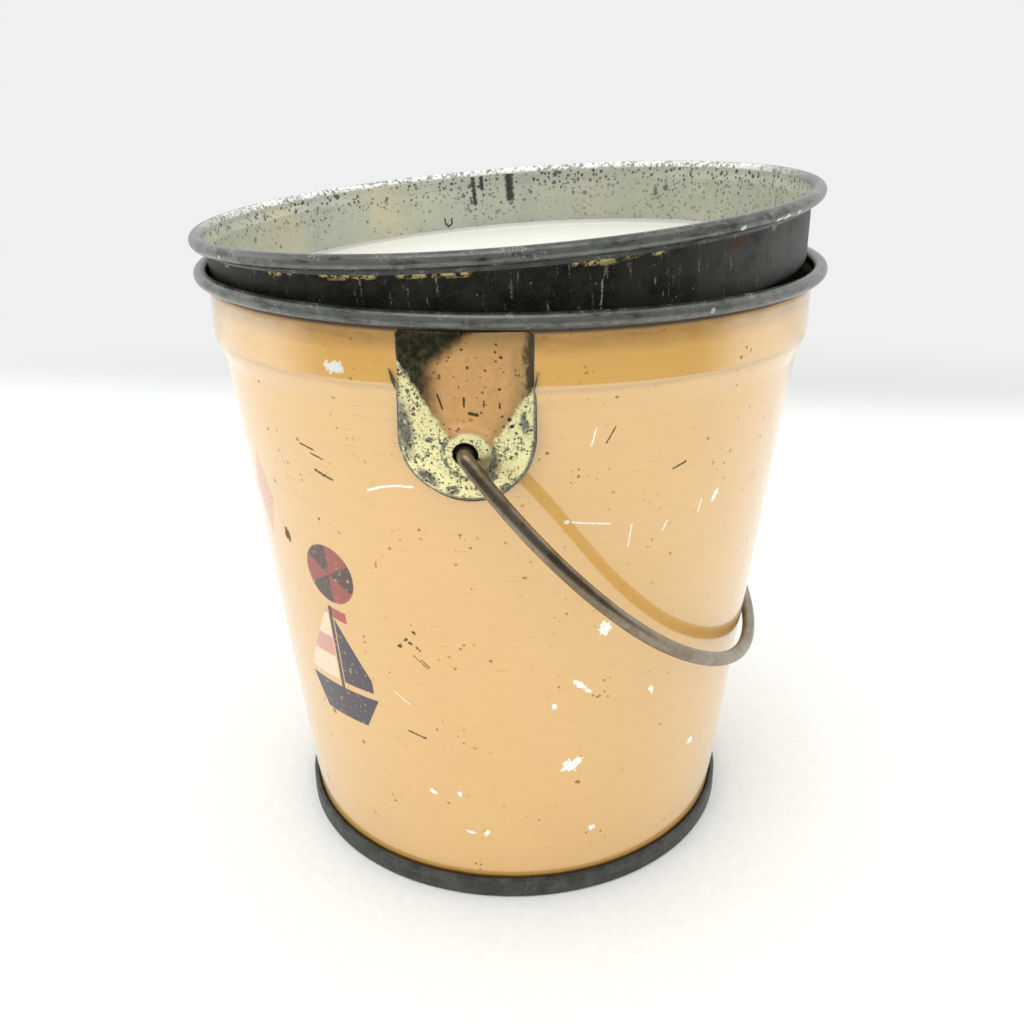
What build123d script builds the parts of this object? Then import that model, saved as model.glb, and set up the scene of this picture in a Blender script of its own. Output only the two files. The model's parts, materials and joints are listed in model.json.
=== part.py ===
"""Small tinplate pail with a press-in lid and a swinging wire bail.

Millimetres, +Z up. The origin is the centre of the ring that the pail stands on. The two bail ears are
at -Y (front) and +Y (rear), the bail turns about the line y through both ear holes, and it hangs
on the +X side. The lid sits in the mouth on a slant, as it does when it has been dropped in by hand.
"""

import os
from math import cos, radians, sin, tan

from build123d import *

# Sheet and wire
body_sheet = 0.25
ear_sheet = 0.35
sheet_gap = 0.1
rim_wire_d = 1.56
bail_wire_d = 2.15

# Pail wall: radii are those of the outer face
neck_r = 47.9
shoulder_r = 46.575
shoulder_low_z = 85.2
shoulder_high_z = 88.1
cone_slope = 0.11
cone_low_z = 0.42

# Curled rims: the roll of sheet round its wire
roll_r = 1.05
roll_wrap = 305
flare_height = 1.3
rim_depth = 2.8
pail_roll_ring_r = 48.95
pail_roll_z = 97.55

# Double seam at the foot
seam_outer_r = 38.6
seam_height = 3.5
body_hook_gap = 0.986
body_hook_drop = 0.9
end_hook_h = 2.05
seam_clear = 0.07
panel_z = 3.1
panel_step = 0.6
panel_step_r = 31.0

# Side seam inside the wall
side_fold_w = 4.6
side_fold_t = 0.6
solder_w = 0.5
solder_lift = 0.25

# Ears
ear_w = 18.0
ear_top_z = 96.0
ear_bottom_z = 73.0
ear_face_r = 48.3
ear_dome_r = 48.5
ear_dome_z = 82.5
ear_dome_drop = 2.6
ear_edge_fillet = 1.3
ear_spur = 0.9
ear_block_back = 5.0
ear_block_depth = 8.0
ear_block_inner_r = 40.0
ear_solder_w = 14.0
ear_solder_h = 4.4
hole_z = 80.1
hole_d = 3.4

# Bail, in its own plane: s runs away from the hinge line and y along it
bail_hang_angle = 44.0
bail_apex_s = 61.15
bail_crown_r = 56.9
bail_crown_half_angle = 51.0
bail_side_r = 38.4
bail_leg_lean = 19.6
bail_bend_r = 1.5
bail_tip_y = 46.8
button_d = 4.4
button_t = 0.9

# Lid: heights are from the centre of its rolled rim
lid_centre = (-0.75, 0.0, 106.0)
lid_tilt = 4.08
lid_high_side = 20.0
lid_roll_ring_r = 48.55
lid_wall_top_r = 47.4
lid_wall_low_r = 46.9
lid_floor_depth = 10.42
lid_corner_r = 1.2

half_sheet = body_sheet / 2
roll_line_r = roll_r - half_sheet


def rolled_rim(wall_r, ring_r, ring_z):
    """Centre line of a rim: up the last of a wall, out a little and round the wire."""
    roll_start_r = ring_r - roll_line_r
    FilletPolyline(
        (wall_r, ring_z - rim_depth),
        (wall_r, ring_z - 1.5 * flare_height),
        (roll_start_r, ring_z - flare_height / 2),
        (roll_start_r, ring_z),
        radius=1.5,
    )
    CenterArc((ring_r, ring_z), roll_line_r, 180, -roll_wrap)


def cone_r(z):
    """Outer radius of the cone at a height."""
    return shoulder_r - cone_slope * (shoulder_low_z - z)


def wall_points(shift):
    """Outer face of the pail wall from the foot to the neck, moved outwards by shift."""
    return [
        (cone_r(cone_low_z) + shift, cone_low_z),
        (shoulder_r + shift, shoulder_low_z),
        (neck_r + shift, shoulder_high_z),
        (neck_r + shift, pail_roll_z - rim_depth),
    ]


# ---------------------------------------------------------------- pail wall
wall_line = wall_points(-half_sheet)
body_hook_r = wall_line[0][0] + body_hook_gap

with BuildPart() as pail_wall:
    with BuildSketch(Plane.XZ):
        with BuildLine() as wall_section:
            rolled_rim(neck_r - half_sheet, pail_roll_ring_r, pail_roll_z)
            FilletPolyline(
                (body_hook_r, seam_height - body_hook_drop),
                (body_hook_r, cone_low_z),
                *wall_line,
                radius=[0.3, 0.3, 3.0, 6.0],
            )
        trace(wall_section.line, body_sheet)
    revolve(axis=Axis.Z)
    # The lock seam's folds, on the inside under the rear ear
    fold_low = Vector(0, cone_r(seam_height + 1) - body_sheet / 2, seam_height + 1)
    fold_high = Vector(0, shoulder_r - body_sheet / 2, shoulder_low_z)
    fold_plane = Plane(fold_low, x_dir=(-1, 0, 0), z_dir=(fold_high - fold_low).normalized())
    with BuildSketch(fold_plane):
        Rectangle(side_fold_w, side_fold_t, align=(Align.CENTER, Align.MIN))
    extrude(amount=(fold_high - fold_low).length)
pail_wall.part.label = "pail_wall"

with BuildPart() as side_seam_solder:
    with BuildSketch(fold_plane):
        with Locations((side_fold_w / 2 + 0.02, solder_lift)):
            Rectangle(solder_w, side_fold_t / 2, align=(Align.MIN, Align.MIN))
    extrude(amount=(fold_high - fold_low).length)
side_seam_solder.part.label = "side_seam_solder"

with BuildPart() as pail_rim_wire:
    with BuildSketch(Plane.XZ):
        with Locations((pail_roll_ring_r, pail_roll_z)):
            Circle(rim_wire_d / 2)
    revolve(axis=Axis.Z)
pail_rim_wire.part.label = "pail_rim_wire"

# ---------------------------------------------------------------- bottom end, double seamed
skirt_r = seam_outer_r - half_sheet
chuck_r = cone_r(cone_low_z) - body_sheet - half_sheet - seam_clear
end_hook_r = cone_r(seam_height) + half_sheet + seam_clear
hook_top_z = seam_height - half_sheet

with BuildPart() as bottom_end:
    with BuildSketch(Plane.XZ):
        with BuildLine() as end_section:
            FilletPolyline(
                (end_hook_r, hook_top_z - end_hook_h),
                (end_hook_r, hook_top_z),
                (skirt_r, hook_top_z),
                (skirt_r, half_sheet),
                (chuck_r, half_sheet),
                (chuck_r, panel_z),
                (panel_step_r + panel_step, panel_z),
                (panel_step_r, panel_z + panel_step),
                (0, panel_z + panel_step),
                radius=[0.25, 0.25, 0.4, 0.4, 0.6, 0.6, 0.6],
            )
        trace(end_section.line, body_sheet)
    revolve(axis=Axis.Z)
bottom_end.part.label = "bottom_end"

# ---------------------------------------------------------------- ears
ear_r = ear_w / 2
ear_round_z = ear_bottom_z + ear_r
ear_plane = Plane.XZ.offset(ear_face_r - ear_block_back)


def ear_outline(inset):
    """Shield outline of the ear: straight sides, a square top and a half-round foot."""
    with BuildSketch(ear_plane) as outline:
        with BuildLine():
            Polyline(
                (-ear_r + inset, ear_round_z),
                (-ear_r + inset, ear_top_z + inset),
                (ear_r - inset, ear_top_z + inset),
                (ear_r - inset, ear_round_z),
            )
            CenterArc((0, ear_round_z), ear_r - inset, 180, 180)
        make_face()
    return outline.sketch


def ear_face_section(inset):
    """Half section of the space behind the ear's face: flat on the neck, domed at the hole."""
    foot = (ear_dome_r - ear_dome_drop - inset, ear_bottom_z - 1)
    crown = (ear_dome_r - inset, ear_dome_z)
    top = (ear_face_r - inset, shoulder_high_z + 1)
    with BuildSketch(Plane.XZ) as section:
        with BuildLine():
            Polyline(
                crown,
                top,
                (top[0], ear_top_z + 1),
                (ear_block_inner_r, ear_top_z + 1),
                (ear_block_inner_r, foot[1]),
                foot,
            )
            TangentArc(crown, foot, tangent=(0, -1))
        make_face()
    return section.sketch


with BuildPart() as wall_space:
    with BuildSketch(Plane.XZ):
        with BuildLine():
            outer = FilletPolyline(*wall_points(sheet_gap), radius=[3.0, 6.0])
            Polyline(
                outer @ 1,
                (neck_r + sheet_gap, pail_roll_z - 1.6 * flare_height),
                (pail_roll_ring_r - roll_r + 2 * sheet_gap, pail_roll_z - flare_height / 2),
                (0, pail_roll_z - flare_height / 2),
                (0, cone_low_z),
                outer @ 0,
            )
        make_face()
    revolve(axis=Axis.Z)

with BuildPart() as ear_pocket:
    extrude(ear_outline(ear_sheet), amount=ear_block_depth)
    revolve(ear_face_section(ear_sheet), axis=Axis.Z, mode=Mode.INTERSECT)

with BuildPart() as ear_spurs:
    with BuildSketch(ear_plane):
        with BuildLine():
            Polyline(
                (ear_r - 0.5, shoulder_high_z - 1.2),
                (ear_r + 0.3, shoulder_high_z - 0.6),
                (ear_r + ear_spur, shoulder_high_z + 2.2),
                (ear_r + 0.2, shoulder_high_z + 0.9),
                (ear_r - 0.5, shoulder_high_z + 0.7),
                close=True,
            )
        make_face()
        mirror(about=Plane.YZ)
    extrude(amount=ear_block_depth)
    revolve(ear_face_section(0), axis=Axis.Z, mode=Mode.INTERSECT)

with BuildPart() as front_ear:
    extrude(ear_outline(0), amount=ear_block_depth)
    revolve(ear_face_section(0), axis=Axis.Z, mode=Mode.INTERSECT)
    face_edges = front_ear.faces().filter_by(GeomType.PLANE, reverse=True).sort_by(Axis.Y)[0].edges()
    fillet(face_edges.filter_by(lambda e: e.bounding_box().min.Z < ear_top_z - 1), ear_edge_fillet)
    add(ear_spurs.part)
    add(ear_pocket.part, mode=Mode.SUBTRACT)
    add(wall_space.part, mode=Mode.SUBTRACT)
    with BuildSketch(ear_plane):
        with Locations((0, hole_z)):
            Circle(hole_d / 2)
    extrude(amount=ear_block_depth, mode=Mode.SUBTRACT)
front_ear.part.label = "front_ear"

with BuildPart() as rear_ear:
    add(front_ear.part.mirror(Plane.XZ))
rear_ear.part.label = "rear_ear"

# The sweated patch of solder between the neck and the flat top of the ear
with BuildPart() as front_ear_solder:
    with BuildSketch(Plane.XZ):
        with Locations((neck_r + sheet_gap / 2, (shoulder_high_z + ear_top_z) / 2)):
            Rectangle(0.8 * sheet_gap, ear_solder_h)
    revolve(axis=Axis.Z)
    with BuildSketch(ear_plane):
        with Locations((0, (shoulder_high_z + ear_top_z) / 2)):
            Rectangle(ear_solder_w, 2 * ear_solder_h)
    extrude(amount=ear_block_depth, mode=Mode.INTERSECT)
front_ear_solder.part.label = "front_ear_solder"

with BuildPart() as rear_ear_solder:
    add(front_ear_solder.part.mirror(Plane.XZ))
rear_ear_solder.part.label = "rear_ear_solder"

# ---------------------------------------------------------------- bail
hang = radians(bail_hang_angle)
bail_plane = Plane((0, 0, hole_z), x_dir=(sin(hang), 0, -cos(hang)), z_dir=(cos(hang), 0, sin(hang)))
side_turn = 90 + bail_leg_lean - bail_crown_half_angle
bend_turn = 90 - bail_leg_lean
bend_tangent = bail_bend_r * tan(radians(bend_turn / 2))

with BuildPart() as bail:
    with BuildLine(bail_plane) as half_wire:
        crown = JernArc((bail_apex_s, 0), (0, 1), bail_crown_r, bail_crown_half_angle)
        side = JernArc(crown @ 1, crown % 1, bail_side_r, side_turn)
        side_end = bail_plane.to_local_coords(side @ 1)
        leg_length = side_end.X / cos(radians(bail_leg_lean)) - bend_tangent
        leg = PolarLine(side @ 1, leg_length, direction=side % 1)
        bend = JernArc(leg @ 1, leg % 1, bail_bend_r, bend_turn)
        Line(bend @ 1, Vector(0, bail_tip_y, hole_z))
    with BuildSketch(Plane(crown @ 0, z_dir=crown % 0)):
        Circle(bail_wire_d / 2)
    sweep(path=half_wire.line)
    # The flattened button end that keeps the wire in its ear
    with BuildSketch(Plane((0, bail_tip_y - button_t / 4, hole_z), z_dir=(0, 1, 0))):
        Circle(button_d / 2)
    extrude(amount=button_t)
    mirror(about=Plane.XZ)
bail.part.label = "bail"

# ---------------------------------------------------------------- lid
tilt = radians(lid_tilt)
lid_high = Vector(cos(radians(lid_high_side)), sin(radians(lid_high_side)), tan(tilt)).normalized()
lid_side = lid_high.cross(Vector(0, 0, 1)).normalized()
lid_normal = lid_side.cross(lid_high)
lid_section_plane = Plane(lid_centre, x_dir=lid_high, z_dir=lid_side)
lid_axis = Axis(lid_centre, lid_normal)

with BuildPart() as lid_pan:
    with BuildSketch(lid_section_plane):
        with BuildLine() as lid_section:
            rolled_rim(lid_wall_top_r - half_sheet, lid_roll_ring_r, 0)
            FilletPolyline(
                (0, -lid_floor_depth),
                (lid_wall_low_r - half_sheet, -lid_floor_depth),
                (lid_wall_top_r - half_sheet, -rim_depth),
                radius=lid_corner_r,
            )
        trace(lid_section.line, body_sheet)
    revolve(axis=lid_axis)
lid_pan.part.label = "lid_pan"

with BuildPart() as lid_rim_wire:
    with BuildSketch(lid_section_plane):
        with Locations((lid_roll_ring_r, 0)):
            Circle(rim_wire_d / 2)
    revolve(axis=lid_axis)
lid_rim_wire.part.label = "lid_rim_wire"

os.makedirs("parts", exist_ok=True)
for piece in (
    pail_wall,
    side_seam_solder,
    pail_rim_wire,
    bottom_end,
    front_ear,
    rear_ear,
    front_ear_solder,
    rear_ear_solder,
    bail,
    lid_pan,
    lid_rim_wire,
):
    export_step(piece.part, f"parts/{piece.part.label}.step")
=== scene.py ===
"""Looks of a small tinplate pail with a press-in lid and a wire bail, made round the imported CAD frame.

Shapes and patterns are worked out in millimetres, and meshes are made in metres. Azimuths are in
degrees from the front (-Y), positive towards +X. Every piece is built in its body's place at rest.
"""

import json
from math import atan2, cos, degrees, hypot, pi, radians, sin, tan

import bpy
import numpy as np
from mathutils import Matrix, Vector

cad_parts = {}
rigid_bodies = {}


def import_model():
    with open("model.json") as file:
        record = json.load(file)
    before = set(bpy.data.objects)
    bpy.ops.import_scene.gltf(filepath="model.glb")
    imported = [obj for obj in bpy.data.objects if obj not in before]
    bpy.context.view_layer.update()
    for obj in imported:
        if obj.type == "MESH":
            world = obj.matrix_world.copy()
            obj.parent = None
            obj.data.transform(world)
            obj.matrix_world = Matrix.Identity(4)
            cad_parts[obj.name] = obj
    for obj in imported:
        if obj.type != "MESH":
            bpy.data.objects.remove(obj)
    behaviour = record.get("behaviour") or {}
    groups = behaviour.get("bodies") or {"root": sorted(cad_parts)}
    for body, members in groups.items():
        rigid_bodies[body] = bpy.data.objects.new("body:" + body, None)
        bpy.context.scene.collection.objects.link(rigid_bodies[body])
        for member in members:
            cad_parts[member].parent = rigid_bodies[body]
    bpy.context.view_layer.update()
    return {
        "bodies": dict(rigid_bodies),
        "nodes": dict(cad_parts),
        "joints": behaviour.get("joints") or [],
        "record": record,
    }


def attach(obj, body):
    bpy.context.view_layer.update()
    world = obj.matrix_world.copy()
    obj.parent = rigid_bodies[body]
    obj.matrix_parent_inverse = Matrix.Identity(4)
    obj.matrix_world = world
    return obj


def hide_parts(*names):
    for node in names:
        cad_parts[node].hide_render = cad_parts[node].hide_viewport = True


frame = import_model()
nodes = frame["nodes"]

MM = 0.001
AROUND = 384

# Sheet and wire, as in the CAD parts
sheet = 0.25
ear_sheet = 0.35
bail_wire_r = 1.075

# Pail wall: outer faces
neck_r = 47.9
shoulder_r = 46.575
shoulder_low_z = 85.2
shoulder_high_z = 88.1
cone_slope = 0.11
cone_low_z = 0.42
roll_r = 1.05
roll_wrap = 305
flare_height = 1.3
rim_depth = 2.8
pail_ring_r = 48.95
pail_ring_z = 97.55

# Foot seam
seam_outer_r = 38.6
seam_height = 3.5
seam_gap = 0.07
seam_hook = 2.05
wall_hook = 0.986
wall_hook_top = 2.6
panel_z = 3.1
panel_step = 0.6
panel_step_r = 31.0

# Ears
ear_w = 18.0
ear_top_z = 96.0
ear_bottom_z = 73.0
ear_face_r = 48.3
ear_dome_r = 48.5
ear_dome_z = 82.5
ear_dome_drop = 2.6
ear_skirt = (0.35, 0.8, 1.25)
ear_wall_gap = 0.42
boss_r = 3.5
spur_root = 8.7
hole_z = 80.1
hole_r = 1.7

# Bail
hang_angle = 44.0
apex_s = 61.15
crown_r = 56.9
crown_half_angle = 51.0
side_r = 38.4
leg_lean = 19.6
bend_r = 1.5
tip_y = 46.8
button_r = 2.2
button_t = 0.9

# Lid, about the centre of its rolled rim
lid_centre = (-0.75, 0.0, 106.0)
lid_tilt = 4.08
lid_high_side = 20.0
lid_ring_r = 48.55
lid_wall_top_r = 47.4
lid_wall_low_r = 46.9
lid_floor_depth = 10.42
lid_corner_r = 1.2

# Hollows, dents and pressed shapes, by depth
wall_hollow, rim_hollow = 0.045, 0.02
base_dent = 0.03
lid_dent, lid_crease = 0.05, 0.09
boss_groove, flank_press, edge_fall = 0.22, 0.22, 0.55

# Stage: the height the lights aim at, and the floor's far edge
middle_z = 55
floor_far = 310


# ---- shader formulas
def connect(tree, value, socket):
    """Links a field or a socket to a socket, or sets the socket to a plain value."""
    if isinstance(value, Field):
        value = value.socket
    if isinstance(value, bpy.types.NodeSocket):
        tree.links.new(value, socket)
    else:
        socket.default_value = value


def add_node(tree, kind, inputs, **settings):
    """A new shader node with its settings, and its inputs by name or number."""
    node = tree.nodes.new("ShaderNode" + kind)
    for name, value in settings.items():
        setattr(node, name, value)
    for place, value in inputs.items():
        connect(tree, value, node.inputs[place])
    return node


class Field:
    """A number at each point of a surface, worked out by shader nodes."""

    def __init__(self, tree, socket):
        self.tree = tree
        self.socket = socket

    def maths(self, operation, *others):
        inputs = dict(enumerate((self, *others)))
        return Field(self.tree, add_node(self.tree, "Math", inputs, operation=operation).outputs[0])

    def __add__(self, other):
        return self.maths("ADD", other)

    def __sub__(self, other):
        return self.maths("SUBTRACT", other)

    def __rsub__(self, other):
        return self.maths("MULTIPLY", -1).maths("ADD", other)

    def __mul__(self, other):
        return self.maths("MULTIPLY", other)

    def __or__(self, other):
        return self.maths("MAXIMUM", other)

    def __and__(self, other):
        return self.maths("MINIMUM", other)

    def __abs__(self):
        return self.maths("ABSOLUTE")

    __radd__ = __add__

    def above(self, edge, soft=0.1):
        """0 well below the edge and 1 well above it, over a soft band."""
        inputs = {0: self, 1: edge - soft, 2: edge + soft}
        node = add_node(self.tree, "MapRange", inputs, interpolation_type="SMOOTHSTEP")
        return Field(self.tree, node.outputs[0])

    def below(self, edge, soft=0.1):
        return 1 - self.above(edge, soft)


def largest(fields):
    """The greatest of several fields."""
    result = fields[0]
    for field in fields[1:]:
        result = result | field
    return result


def rgba(colour):
    """A colour with its alpha; a socket stays as it is."""
    return (*colour, 1) if isinstance(colour, tuple) else colour


class Finish:
    """One procedural material: fields of place and noise, and colours laid over one another."""

    def __init__(self, name, frame=None):
        """`frame` is the matrix of the piece's own frame, where it isn't the object's."""
        self.material = bpy.data.materials.new(name)
        self.material.use_nodes = True
        self.tree = self.material.node_tree
        self.shader = self.tree.nodes["Principled BSDF"]
        metres = self.add("TexCoord", {}).outputs["Object"]
        self.place = self.add("VectorMath", {0: metres, "Scale": 1 / MM}, operation="SCALE").outputs[0]
        if frame is not None:
            inputs = {0: self.place, "Location": frame.translation / MM, "Rotation": frame.to_euler()}
            self.place = self.add("Mapping", inputs, vector_type="TEXTURE").outputs[0]
        parts = self.add("SeparateXYZ", {0: self.place})
        self.x, self.y, self.z = (Field(self.tree, output) for output in parts.outputs)
        self.run = self.x
        self.rise = self.z

    def add(self, kind, inputs, **settings):
        return add_node(self.tree, kind, inputs, **settings)

    def go_round(self, mm_per_degree, rear=False):
        """Makes `run` the way round the axis, in mm from the front or from the rear."""
        angle = self.x.maths("ARCTAN2", self.y if rear else self.y * -1)
        self.run = angle * (degrees(1) * mm_per_degree)

    def stretched(self, scale):
        """The place in mm, scaled along x, y and z."""
        factors = scale if isinstance(scale, tuple) else (scale,) * 3
        return self.add("VectorMath", {0: self.place, 1: factors}, operation="MULTIPLY").outputs[0]

    def noise(self, scale, detail, roughness, shift=0.0):
        """Noise about 0.5; scale is in cells per mm, one number or one for each axis."""
        inputs = {"Vector": self.stretched(scale), "W": shift, "Scale": 1}
        inputs |= {"Detail": detail, "Roughness": roughness}
        return Field(self.tree, self.add("TexNoise", inputs, noise_dimensions="4D").outputs[0])

    def dots(self, cell, size, share, shift=0.0):
        """Uneven specks up to `size` mm across in a share of the cells, of many sizes."""
        inputs = {"Vector": self.stretched(1 / cell), "W": shift, "Scale": 1}
        cells = self.add("TexVoronoi", inputs, voronoi_dimensions="4D")
        chance = self.add("SeparateColor", {0: cells.outputs["Color"]}).outputs[0]
        reach = Field(self.tree, chance).above(1 - share, share / 2) * (size / cell)
        uneven = (self.noise(1.3 / size, 3, 0.7, shift) - 0.5) * (1.5 * size / cell)
        gap = Field(self.tree, cells.outputs["Distance"]) + uneven
        return (reach * 0.8 - gap).above(0.0, 0.06 * size / cell + 0.01)

    def spot(self, run, rise, width, height, turn=0.0, ragged=0.0, soft=0.15):
        """A blot about a point, as wide and high as said, with an uneven edge."""
        a, b = self.run - run, self.rise - rise
        c, s = cos(radians(turn)), sin(radians(turn))
        along, across = a * c + b * s, b * c - a * s
        distance = (along * (2 / width)).maths("POWER", 2) + (across * (2 / height)).maths("POWER", 2)
        edge = distance.maths("SQRT")
        if ragged:
            edge = edge + (self.noise(5 / (width + height), 4, 0.65, run) - 0.5) * ragged
        return edge.below(1.0, soft)

    def stroke(self, points, width, ragged=0.0):
        """A thin line through some (run, rise) points."""
        spans = []
        for (x0, z0), (x1, z1) in zip(points, points[1:]):
            length = hypot(x1 - x0, z1 - z0)
            cx, cz = (x1 - x0) / length, (z1 - z0) / length
            a, b = self.run - x0, self.rise - z0
            along = a * cx + b * cz
            past = along - along.maths("MAXIMUM", 0.0).maths("MINIMUM", length)
            across = b * cx - a * cz
            spans.append((past * past + across * across).maths("SQRT"))
        nearest = spans[0]
        for span in spans[1:]:
            nearest = nearest & span
        if ragged:
            nearest = nearest + (self.noise(3.6, 4, 0.7, points[0][0]) - 0.5) * ragged * 1.4
        return nearest.below(width / 2, width / 5)

    def spots(self, rows, across=1.0):
        """Several blots; a row holds what `spot` takes, its run in steps of `across` mm."""
        return largest([self.spot(run * across, *others) for run, *others in rows])

    def strokes(self, rows, across=1.0):
        """Several straight lines; a row holds run and rise of both ends, width and raggedness."""
        lines = []
        for run, rise, far_run, far_rise, width, ragged in rows:
            ends = [(run * across, rise), (far_run * across, far_rise)]
            lines.append(self.stroke(ends, width, ragged))
        return largest(lines)

    def mix(self, under, over, mask):
        """Colour `over` laid on `under` where the mask is 1."""
        inputs = {"Factor": mask, 6: rgba(under), 7: rgba(over)}
        return self.add("Mix", inputs, data_type="RGBA").outputs[2]

    def layers(self, base, *coats):
        """A base colour with (colour, mask) coats over it, in order."""
        result = base
        for colour, mask in coats:
            result = self.mix(result, colour, mask)
        return result

    def wear(self, colour, metallic, roughness, height=None, depth=0.05, **others):
        """Joins the layers to the shader; `others` are more sockets, by name."""
        values = {"Base_Color": rgba(colour), "Metallic": metallic, "Roughness": roughness, **others}
        if height is not None:
            inputs = {"Strength": 1, "Distance": depth * MM, "Height": height}
            values["Normal"] = self.add("Bump", inputs).outputs[0]
        for name, value in values.items():
            connect(self.tree, value, self.shader.inputs[name.replace("_", " ")])
        return self.material

    def fade_out(self, mask):
        """Makes the surface clear where the mask is 1."""
        clear = self.add("BsdfTransparent", {}).outputs[0]
        join = self.add("MixShader", {0: mask, 1: self.shader.outputs[0], 2: clear})
        connect(self.tree, join.outputs[0], self.tree.nodes["Material Output"].inputs["Surface"])


# ---- materials
# Millimetres for each degree round the wall, a rim and the lid
PER_DEGREE = 0.75
RIM_PER_DEGREE = 0.84
LID_PER_DEGREE = 0.82
SAIL_SIZE = 1.16
BROWN_DIRT = (0.25, 0.11, 0.03)
NAVY = (0.022, 0.024, 0.055)


def at(azimuth):
    """Way round the wall, in mm, of an azimuth in degrees."""
    return azimuth * PER_DEGREE


def enamel_chips(paint):
    """Places where the enamel has come off down to bright tin."""
    chips = (
        (-21.7, 90.2, 2.6, 1.7, 15, 3.0),
        (25.1, 51.0, 1.8, 2.2, 20, 3.2),
        (20.0, 26.3, 3.2, 2.1, 25, 3.2),
        (20.7, 41.6, 2.4, 0.9, -40, 3.4),
        (22.6, 40.2, 1.2, 0.7, -30, 3.0),
        (54.8, 22.3, 1.7, 1.3, 0, 3.0),
        (15.5, 38.0, 0.8, 1.3, 0, 2.6),
        (16.6, 69.1, 0.7, 0.6, 0, 1.8),
        (47.8, 68.9, 0.9, 1.8, -25, 3.0),
        (37.8, 37.6, 0.8, 1.6, 30, 3.0),
        (-3.4, 12.8, 1.6, 0.5, -10, 2.6),
        (-12.0, 20.3, 1.5, 0.8, -30, 3.2),
        (-5.5, 20.6, 0.8, 1.1, 20, 2.8),
        (0.6, 12.9, 0.9, 1.5, -25, 2.8),
        (26.0, 12.5, 1.2, 1.0, 30, 2.8),
    )
    curved = [(at(-18.8), 72.6), (at(-16.3), 73.4), (at(-13.3), 73.9), (at(-10.1), 74.0)]
    scratches = (
        (17.5, 69.0, 24.5, 68.2, 0.22, 0.3),
        (28.4, 64.2, 28.8, 67.6, 0.18, 0.35),
        (43.6, 67.2, 44.2, 69.0, 0.2, 0.2),
        (35.5, 65.7, 36.3, 67.1, 0.2, 0.2),
        (20.2, 80.2, 20.9, 82.6, 0.2, 0.25),
        (17.6, 25.4, 22.4, 27.4, 0.24, 0.5),
        (19.2, 27.6, 20.8, 25.0, 0.22, 0.5),
        (-18.6, 38.6, -15.4, 36.8, 0.14, 0.3),
    )
    torn = paint.noise(3.5, 3, 0.7, 5).above(0.47, 0.05)
    strays = paint.dots(8.0, 0.6, 0.2, shift=3.0) * torn
    low_strays = paint.dots(5.0, 0.6, 0.26, shift=8.0) * torn * paint.z.below(24, 8)
    broken = paint.noise(3.8, 3, 0.7, 16).above(0.40, 0.04)
    lines = paint.strokes(scratches, PER_DEGREE) | paint.stroke(curved, 0.32, 0.3)
    return largest([paint.spots(chips, PER_DEGREE) * broken, lines, strays, low_strays])


def enamel_scuffs(paint):
    """Brown rubs and short dark scrapes in the enamel."""
    rubs = (
        (-12.7, 50.2, 0.8, 0.5, -40, 2.0, 0.2),
        (-14.6, 48.7, 0.8, 0.5, 50, 2.0, 0.2),
        (-16.1, 47.4, 0.9, 0.6, 40, 3.0, 0.2),
        (-13.7, 48.2, 0.7, 0.5, -20, 3.0, 0.2),
        (-44.6, 60.3, 1.6, 2.2, 20, 3.0, 0.25),
    )
    scrapes = (
        (-12.5, 47.8, -11.7, 47.1, 0.24, 0.5),
        (-13.2, 46.1, -10.3, 44.1, 0.16, 0.2),
        (-11.6, 45.5, -9.9, 44.4, 0.2, 0.3),
        (-33.4, 77.5, -30.2, 77.0, 0.3, 0.35),
        (-31.0, 76.4, -28.2, 75.9, 0.26, 0.4),
        (-30.5, 73.9, -26.6, 73.0, 0.4, 0.8),
        (36.2, 75.1, 38.8, 75.8, 0.3, 0.4),
        (22.8, 80.4, 24.2, 82.6, 0.2, 0.3),
        (-16.5, 31.6, -12.4, 30.8, 0.3, 0.6),
    )
    return paint.spots(rubs, PER_DEGREE) | paint.strokes(scrapes, PER_DEGREE)


def sail_print(paint, run, rise):
    """Masks of a small printed sailing boat: hull and spars, the main sail, the jib and stripes."""
    a, b = (paint.run - run) * (1 / SAIL_SIZE), (paint.rise - rise) * (1 / SAIL_SIZE)
    line = 0.1
    hull = (b.above(-9.6, line) & b.below(-4.6, line)) & (abs(a) + b * -0.55).below(9.6, line)
    hull = hull & (b + abs(a * a) * -0.03).above(-10.4, line)
    mast = abs(a - 0.4).below(0.32, line) & b.above(-6, line) & b.below(8.4, line)
    left = a.above(-6.6, line) & a.below(-0.2, line)
    left = left & (b - a * 1.75).below(8.6, line) & b.above(-3.8, line)
    right = a.above(0.9, line) & a.below(6.4, line)
    right = right & (b + a * 1.5).below(8.0, line) & b.above(-3.6, line)
    pennant = (a.above(0.5, line) & a.below(3.4, line)) & abs(b - 7.6 + a * 0.1).below(0.8, line)
    bands = ((b * 0.9).maths("SINE")).above(0.15, 0.2)
    return hull | mast, left, right, pennant, bands


def ball_print(paint, run, rise):
    """Masks of a small printed beach ball: its disc and its darker gores."""
    a, b = paint.run - run, paint.rise - rise
    disc = (a * a + b * b).maths("SQRT").below(4.9, 0.12)
    gores = ((a.maths("ARCTAN2", b)) * 3).maths("SINE").above(0.0, 0.12)
    return disc, gores


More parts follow.
